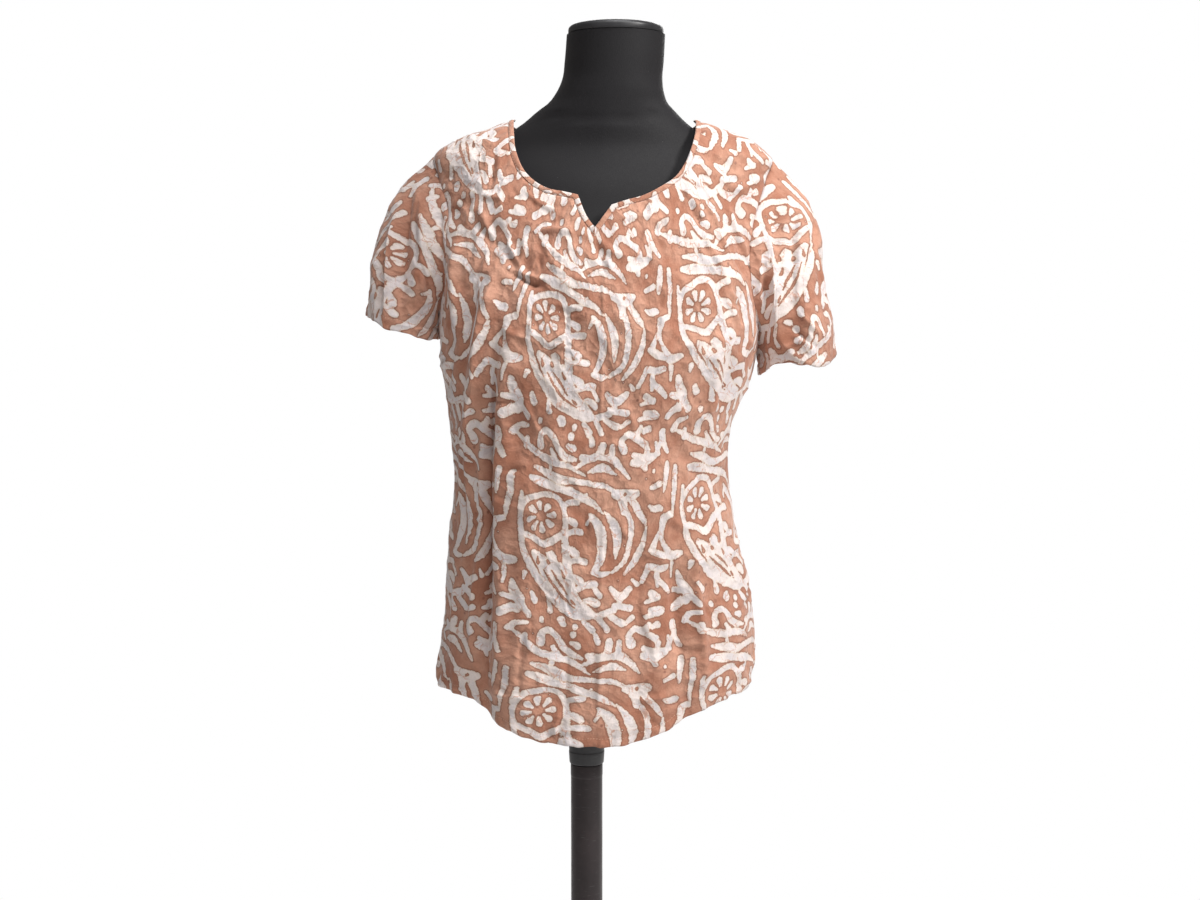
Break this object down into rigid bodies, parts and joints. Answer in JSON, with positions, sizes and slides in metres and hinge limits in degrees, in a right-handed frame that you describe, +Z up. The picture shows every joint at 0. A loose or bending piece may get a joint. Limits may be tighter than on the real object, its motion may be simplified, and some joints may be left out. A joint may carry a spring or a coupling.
{
  "type": "batik blouse on a limbless dress form",
  "caption": "Short-sleeved batik cotton blouse with a notched round neck and curved hem, worn by a black limbless dress form on a pole stand.",
  "frame": {"origin": "middle of the stand's base on the floor, on the pole's axis", "axes": "+Z up along the pole, the blouse's front faces -Y, +X is the viewer's right"},
  "size_m": [0.5438, 0.34, 1.4623],
  "materials": {
    "batik_cotton": "plain-woven cotton, terracotta ground with off-white wax-resist motifs",
    "form_cover": "black stretch cover, matt with a faint nap",
    "black_plastic": "satin black",
    "black_steel": "black powder coat, worn a little brown"
  },
  "bodies": {
    "root": {"front": "batik_cotton", "back": "batik_cotton", "sleeve_left": "batik_cotton", "sleeve_right": "batik_cotton", "neck_binding": "batik_cotton", "form_torso": "form_cover", "neck_cap": "black_plastic", "pole_socket": "black_plastic", "pole": "black_steel", "pole_foot": "black_plastic", "base": "black_steel"}
  },
  "joints": []
}
